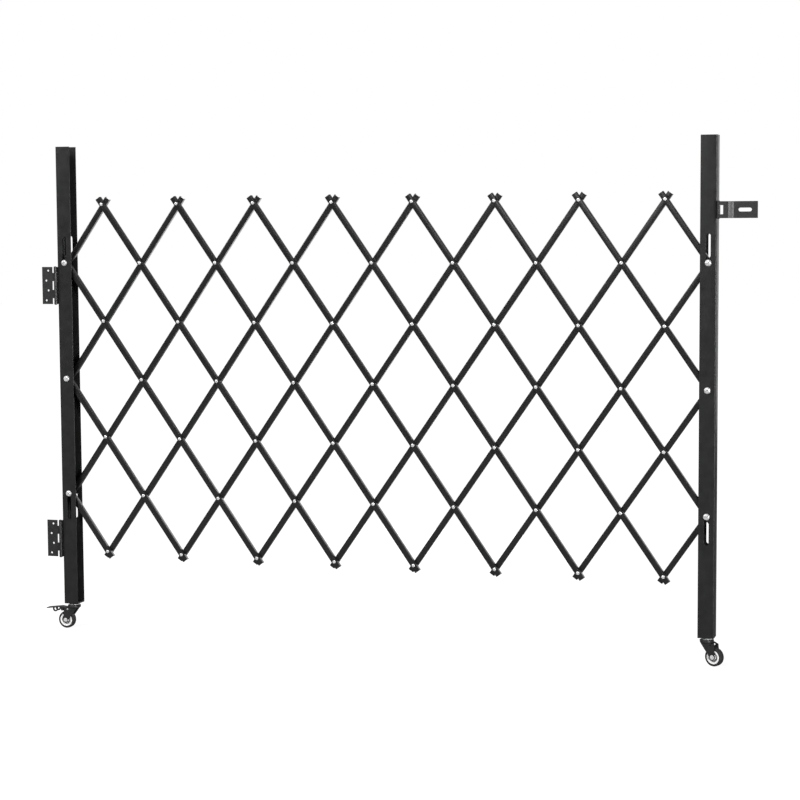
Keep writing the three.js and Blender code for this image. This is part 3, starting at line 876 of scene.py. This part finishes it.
class GATE_OT_hinges(Operator):
    """Rolls the leaves of the two wall hinges and sets their pins"""

    bl_idname = "gate.hinges"
    bl_label = "Wall hinges"

    def execute(self, context):
        sizes, black = gate().hinges, "black_hardware"
        for which in ("upper", "lower"):
            wall_name, post_name, pin_name = (f"{which}_{n}" for n in ("wall_leaf", "post_leaf", "hinge_pin"))
            height = size_of(wall_name).z
            spans = knuckle_spans(height, HINGE_SHARES)
            at = shifted(*middle(pin_name))
            swung = at @ QUARTER_BACK
            wall = moved(rolled_leaf(sizes.reach, height, spans, 1, sizes.notch, screw_places(height)), at)
            post = moved(rolled_leaf(sizes.reach, height, spans, 0, sizes.barrel + sizes.gap), swung)
            heads = moved(repeated(rivet_head, screw_places(height)), swung)
            piece(f"rolled_{wall_name}", wall, "wall_side", black, SHEET_EDGE, wall_name)
            piece(f"rolled_{post_name}", post, "left_post", black, SHEET_EDGE, post_name)
            piece(f"{which}_leaf_rivets", heads, "left_post", black)
            piece(f"domed_{pin_name}", moved(hinge_pin(height), at), "left_post", black, 0, pin_name)
        return {"FINISHED"}


def hasp_strap(height, spans):
    """The slotted strap about the hasp's axis: barrel, crest, and flat end against the wall's plane."""
    sizes, hinge = gate().hasp, gate().hinges
    front = hinge.barrel - hinge.wall
    path = [(sizes.reach, front), (sizes.flat, front), (sizes.crest, -hinge.barrel - sizes.rise)]
    path += arc((0, 0), hinge.barrel, -pi / 2, -hinge.roll, ROLL_STEPS)
    bm = folded_sheet(path, -height / 2, height / 2, hinge.wall, sizes.bend)
    side = hinge.barrel + sizes.rise + OVERRUN
    low, high = spans[1]
    notch = block((-side, -side, low - hinge.gap), (sizes.notch, side, high + hinge.gap))
    slot_end = sizes.slot_start + sizes.slot_length
    return worked(bm, [notch, slot_cutter(sizes.slot_width / 2, sizes.slot_start, slot_end, 0, side)])


class GATE_OT_hasp(Operator):
    """Makes the hasp on the right post"""

    bl_idname = "gate.hasp"
    bl_label = "Hasp"

    def execute(self, context):
        sizes, black = gate().hasp, "black_hardware"
        notch = gate().hinges.barrel + gate().hinges.gap
        height = size_of("hasp_strap").z
        spans = knuckle_spans(height, HASP_SHARES)
        at = shifted(*middle("hasp_pin"))
        swung = at @ QUARTER_BACK @ FLIPPED
        strap = moved(hasp_strap(height, spans), at)
        base = moved(rolled_leaf(sizes.base, height, spans, 1, notch), swung)
        places = [(-(sizes.base + notch) / 2, 0, (row - 0.5) * height) for row in HASP_ROWS]
        heads = moved(repeated(rivet_head, places), swung)
        piece("slotted_strap", strap, "hasp_strap", black, SHEET_EDGE, "hasp_strap")
        piece("rolled_hasp_base", base, "right_post", black, SHEET_EDGE, "hasp_base")
        piece("hasp_base_rivets", heads, "right_post", black)
        piece("domed_hasp_pin", moved(hinge_pin(height), at), "right_post", black, 0, "hasp_pin")
        return {"FINISHED"}


# Casters


RACE = [
    (0, 0), (0.62, 0), (0.68, 0.06), (0.9, 0.06), (0.97, 0.14), (1, 0.26), (1, 0.5), (0.96, 0.56),
    (0.96, 0.62), (0.98, 0.68), (0.98, 0.92), (0.95, 1), (0, 1),
]  # shares of the swivel's radius, and of its height from the top
AXLE_HEAD = [(0, 0.72), (0.30, 0.72), (0.38, 0.98), (0.62, 1), (0.86, 0.80), (0.97, 0.45), (1, 0.1), (1, 0)]
STEM_FLANGE = [(0.97, 1), (1, 0.7), (1, 0.2), (0.97, 0), (0, 0)]  # shares of its radius and height
FLANGE_SHARE = 0.1  # the flange's height, as a share of the stem's
SHOULDER_STEPS = 6  # faces round a tyre's shoulder
RIM_EASE = 0.0004  # the slope at the ring's edges
DISC_GAP, DISC_FOLD = 0.0002, 0.001  # round the hub, and at the disc's inner edge
BRAKE_PIN = [(0, 1), (0.8, 1), (1, 0.97), (1, -0.97), (0.8, -1), (0, -1)]  # shares of its radius and reach


def caster_place(side):
    """The swivel's axis on the floor, with the wheel trailing to its own -X."""
    facing = 0 if side == "left" else gate().casters.turned
    return post_axis(side) @ rotated(facing)


def side_plate(low, high):
    """A side plate of the fork, from its crown down to the axle's eye."""
    sizes = gate().casters
    crown = sizes.crown - sizes.head_height
    eye = arc((-sizes.trail, sizes.radius), sizes.eye, pi, pi, EYE_STEPS)
    outline = [(-sizes.front, crown + sizes.plate), (-sizes.back, sizes.back_height)] + eye
    outline += [(-sizes.waist, sizes.waist_height), (sizes.front, crown), (sizes.front, crown + sizes.plate)]
    return moved(slab(outline, -high, -low), TO_FRONT)


def bored(solid, reach, holes):
    """A solid with holes along Y, each a radius, how far behind the swivel's axis, and a height."""
    return worked(solid, [cross_rod(r, reach + OVERRUN, -x, z) for r, x, z in holes])


def caster_fork():
    """The fork: a crown with two side plates, bored for the axle and the brake's pin."""
    sizes, brake, loose = gate().casters, gate().brake, gate().hinges.gap
    inner, outer = sizes.gap / 2, sizes.gap / 2 + sizes.plate
    crown = sizes.crown - sizes.head_height
    bridge = block((-sizes.head / 2, -outer, crown), (sizes.front, outer, crown + sizes.plate))
    fork = worked(side_plate(-outer, -inner), [side_plate(inner, outer), bridge], "UNION")
    axle_hole = (sizes.axle + loose, sizes.trail, sizes.radius)
    return bored(fork, outer, [axle_hole, (brake.pin + loose, brake.pin_reach, brake.pin_height)])


def swivel_race():
    """The pressed race of the swivel: a cap over a slightly smaller ring."""
    sizes = gate().casters
    return turned(scaled(RACE, sizes.head, sizes.crown, -sizes.head_height), RACE_ROUND)


def caster_stem():
    """The stem: a flange under the post and a threaded end in the foot plate's nut."""
    low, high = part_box("left_caster_stem")
    radius, flange = gate().casters.stem, (high.x - low.x) / 2
    step = (high.z - low.z) * FLANGE_SHARE
    profile = [(0, high.z), (radius * THREAD_END, high.z)] + threaded(radius, low.z + step, high.z)
    return turned(profile + [(radius, low.z + step)] + scaled(STEM_FLANGE, flange, low.z, step))


def tyre():
    sizes = gate().casters
    half, shoulder = sizes.tyre_width / 2, sizes.shoulder
    corner = (sizes.radius - shoulder, half - shoulder)
    edge = arc(corner, shoulder, pi / 2, -pi / 2, SHOULDER_STEPS)
    return turned(mirrored([(sizes.radius - sizes.tyre_depth, half)] + edge), TYRE_ROUND)


def wheel_ring():
    """The white ring with its web and hub."""
    sizes = gate().casters
    outer = sizes.radius - sizes.tyre_depth
    bore, hub = sizes.axle + gate().hinges.gap, sizes.hub_radius
    rim, ease = sizes.rim_inner, RIM_EASE
    points = [
        (bore, 1.14), (hub * 0.92, 1.14), (hub, 1.08), (hub, 0.55), (rim * 0.98, 0.55),
        (rim, 0.62), (rim, 0.94), (rim + ease, 1), (outer - ease, 1), (outer, 0.95),
    ]  # radius and share of half the width
    return turned(mirrored(scaled(points, 1, 0, sizes.tyre_width / 2)), RING_ROUND)


def dished_disc(side):
    """The dished disc that covers the wheel's web on one side."""
    sizes = gate().casters
    inner, outer = sizes.hub_radius + DISC_GAP, sizes.disc_radius
    points = [(inner, 1), (inner + DISC_FOLD, 0.99), (outer * 0.86, 0.80)]
    points += [(outer, 0.74), (outer, 0.58), (inner, 0.58)]  # radius and share of half the width
    return turned(scaled(points, 1, 0, side * sizes.tyre_width / 2), RING_ROUND)


def axle():
    """The axle along Z, with a dished head outside each side plate."""
    sizes = gate().casters
    outer = sizes.gap / 2 + sizes.plate
    head = scaled(AXLE_HEAD, sizes.axle_head, outer, size_of("left_caster_axle").y / 2 - outer)
    return turned(mirrored(head + [(sizes.axle, outer)]))


class GATE_OT_casters(Operator):
    """Makes both casters"""

    bl_idname = "gate.casters"
    bl_label = "Casters"

    def execute(self, context):
        sizes = gate().casters
        for side in ("left", "right"):
            at = caster_place(side)
            wheel_at = at @ shifted(-sizes.trail, 0, sizes.radius) @ TO_FRONT
            discs = gathered([dished_disc(1), dished_disc(-1)])
            for name, made, place, carrier, look, softened, part in (
                ("fork", caster_fork(), at, "swivel", "black_hardware", HEAVY_EDGE, "fork"),
                ("race", swivel_race(), at, "swivel", "black_hardware", THIN_EDGE, None),
                ("stem", caster_stem(), at, "post", "bright_zinc", 0, "stem"),
                ("axle", axle(), wheel_at, "swivel", "bright_zinc", 0, "axle"),
                ("tyre", tyre(), wheel_at, "wheel", "tyre_rubber", 0, "tyre"),
                ("ring", wheel_ring(), wheel_at, "wheel", "white_nylon", 0, "wheel"),
                ("discs", discs, wheel_at, "wheel", "grey_disc", 0, None),
            ):
                parts = [f"{side}_caster_{part}"] if part else []
                piece(f"{side}_{name}", moved(made, place), f"{side}_{carrier}", look, softened, *parts)
        return {"FINISHED"}


def brake_lever():
    """The lever: a bent sheet from its pin to the tip, a round tab on each side, and a shoe over the tyre."""
    sizes = gate().brake
    half, wall = sizes.width / 2, sizes.wall
    eye = 2 * sizes.pin
    pin = (-sizes.pin_reach, sizes.pin_height)
    face = [(-sizes.tip, sizes.tip_height), (-sizes.bend, sizes.bend_height), (pin[0], pin[1] + eye)]
    sheet = moved(folded_sheet(face, -half, half, wall, sizes.fold), TO_FRONT)
    slope = (sizes.bend_height - sizes.tip_height) / (sizes.tip - sizes.bend)

    def sheet_at(reach):
        return sizes.bend_height - slope * (reach - sizes.bend) - wall / 2

    tab = arc((-sizes.tab_reach, sizes.tab_height), sizes.tab_radius, pi, pi, EYE_STEPS)
    tab = [(tab[0][0], sheet_at(-tab[0][0]))] + tab + [(tab[-1][0], sheet_at(-tab[-1][0]))]
    tabs = [moved(slab(tab, low, low + wall), TO_FRONT) for low in (-half, half - wall)]
    collar = cross_rod(eye, half, *pin)
    shoe_top = sizes.bend_height - wall
    shoe = block((-sizes.shoe_back, -half, sizes.shoe_bottom), (-sizes.shoe_front, half, shoe_top))
    lever = worked(sheet, [*tabs, collar, shoe], "UNION")
    tab_hole = (sizes.tab_hole, sizes.tab_reach, sizes.tab_height)
    pin_hole = (sizes.pin + gate().hinges.gap, sizes.pin_reach, sizes.pin_height)
    return bored(lever, half, [tab_hole, pin_hole])


class GATE_OT_brake(Operator):
    """Makes the left caster's brake lever and its pin"""

    bl_idname = "gate.brake"
    bl_label = "Brake"

    def execute(self, context):
        sizes, fork = gate().brake, gate().casters
        at = caster_place("left")
        lever = moved(brake_lever(), at)
        piece("brake_lever", lever, "brake_pedal", "black_hardware", HEAVY_EDGE, "brake_pedal")
        pin = turned(scaled(BRAKE_PIN, sizes.pin, 0, fork.gap / 2 + fork.plate), LITTLE_ROUND)
        moved(pin, at @ shifted(-sizes.pin_reach, 0, sizes.pin_height) @ TO_FRONT)
        piece("brake_rivet", pin, "left_swivel", "bright_zinc", 0, "brake_pin")
        return {"FINISHED"}


# Stage


FLOOR_HALF = 20  # half the floor's side
FLOOR_FADE = (2, 5)  # metres from the origin over which the shadow fades
SKY_FADE = (0.1, 0.7)  # from the front level to the back level, as shares of the way back
LIGHTS = {
    "key": ((8.0, -6.2, 0.8), None, 2.6),
    "fill": ((-3.4, -3.0, 3.0), None, 1.8),
    "glow": ((0.9, -3.4, 1.9), (1.5, 0, 1.1), 1.0),
    "rim": ((0.55, 2.0, 0.55), (0.1, 0, 0.6), 1.3),
    "top": ((-1.0, -6.5, 6.0), None, 2.2),
    "edge": ((2.25, 2.8, 1.0), (1.75, 0, 0.8), 1.4),
}  # where each stands, what it faces if not the gate's middle, and its side


def seen_directly(tree):
    """1 for rays straight from the camera, else 0."""
    return add_node(tree, "LightPath")


def bare_tree(owner):
    """The node tree of a new material or world, emptied."""
    owner.use_nodes = True
    owner.node_tree.nodes.clear()
    return owner.node_tree


def floor_finish():
    """A plain floor that reads white to the camera and keeps part of the shadow."""
    material = bpy.data.materials.new("pale_floor")
    tree = bare_tree(material)
    place = add_node(tree, "TexCoord").outputs["Object"]
    away = add_node(tree, "VectorMath", {0: place}, operation="LENGTH").outputs["Value"]
    level = {0: ranged(tree, away, 1 - gate().view.shadow, 1, *FLOOR_FADE), 1: seen_directly(tree)}
    white = {"Strength": add_node(tree, "Math", level, operation="MULTIPLY")}
    plain = add_node(tree, "BsdfDiffuse", {"Color": (*gate().colours.floor, 1)})
    both = {0: plain, 1: add_node(tree, "Emission", white)}
    add_node(tree, "OutputMaterial", {"Surface": add_node(tree, "AddShader", both)})
    return material


def light_world():
    """Soft light from all round, and plain white for the camera."""
    bpy.context.scene.world = bpy.data.worlds.new("studio")
    tree, view = bare_tree(bpy.context.scene.world), gate().view
    place = add_node(tree, "TexCoord").outputs["Generated"]
    back = add_node(tree, "SeparateXYZ", {"Vector": place}).outputs["Y"]
    soft = {"Strength": ranged(tree, back, view.front_level, view.back_level, *SKY_FADE)}
    chosen = {
        "Fac": seen_directly(tree),
        1: add_node(tree, "Background", soft),
        2: add_node(tree, "Background", {"Color": (1, 1, 1, 1)}),
    }
    add_node(tree, "OutputWorld", {"Surface": add_node(tree, "MixShader", chosen)})


def area_light(name, place, aim, side):
    lamp = bpy.data.lights.new(name, "AREA")
    lamp.energy = getattr(gate().view, name)
    lamp.size = side
    made = placed(name, lamp)
    made.location = place
    made.rotation_euler = (Vector(aim) - Vector(place)).to_track_quat("-Z", "Y").to_euler()
    made.visible_camera = False


class GATE_OT_stage(Operator):
    """Sets the floor, the lights and the camera"""

    bl_idname = "gate.stage"
    bl_label = "Stage"

    def execute(self, context):
        scene, view = context.scene, gate().view
        bm = bmesh.new()
        bmesh.ops.create_grid(bm, x_segments=1, y_segments=1, size=FLOOR_HALF)
        floor = placed("floor", mesh_of("floor", bm))
        floor.data.materials.append(floor_finish())
        light_world()
        for name, (place, aim, side) in LIGHTS.items():
            area_light(name, place, aim or (CAD_BOX[0] + CAD_BOX[1]) / 2, side)
        lens = bpy.data.cameras.new("camera")
        lens.lens = view.lens
        lens.sensor_width = view.sensor
        camera = placed("camera", lens)
        aimed = rotated(view.yaw) @ rotated(pi / 2 - view.pitch, "X") @ rotated(view.roll)
        camera.matrix_world = shifted(*view.position) @ aimed
        scene.camera = camera
        scene.view_settings.view_transform = "Standard"
        return {"FINISHED"}


class GATE_PT_panel(Panel):
    """Lists the gate's pieces and sizes"""

    bl_idname = "GATE_PT_panel"
    bl_label = "Folding gate"
    bl_space_type = "VIEW_3D"
    bl_region_type = "UI"
    bl_category = "Gate"

    def draw(self, context):
        for operator in OPERATORS:
            self.layout.operator(operator.bl_idname)
        settings = context.scene.gate_settings
        for group in settings.bl_rna.properties:
            if group.type != "POINTER":
                continue
            box = self.layout.box()
            box.label(text=group.identifier.capitalize())
            values = getattr(settings, group.identifier)
            for item in values.bl_rna.properties:
                if item.identifier not in ("rna_type", "name"):
                    box.prop(values, item.identifier)


GROUPS = (
    LatticeSizes, RivetSizes, PostSizes, HingeSizes, HaspSizes, CasterSizes, BrakeSizes, GateColours,
    ViewSizes, GateSettings,
)
OPERATORS = (
    GATE_OT_bars, GATE_OT_rivets, GATE_OT_posts, GATE_OT_post_bolts, GATE_OT_hinges, GATE_OT_hasp,
    GATE_OT_casters, GATE_OT_brake, GATE_OT_stage,
)


def register():
    for item in (*GROUPS, *OPERATORS, GATE_PT_panel):
        bpy.utils.register_class(item)
    bpy.types.Scene.gate_settings = PointerProperty(type=GateSettings)


def unregister():
    del bpy.types.Scene.gate_settings
    for item in reversed((*GROUPS, *OPERATORS, GATE_PT_panel)):
        bpy.utils.unregister_class(item)


def main():
    """Builds the gate."""
    register()
    for operator in OPERATORS:
        group, name = operator.bl_idname.split(".")
        getattr(getattr(bpy.ops, group), name)()


if __name__ == "__main__":
    main()
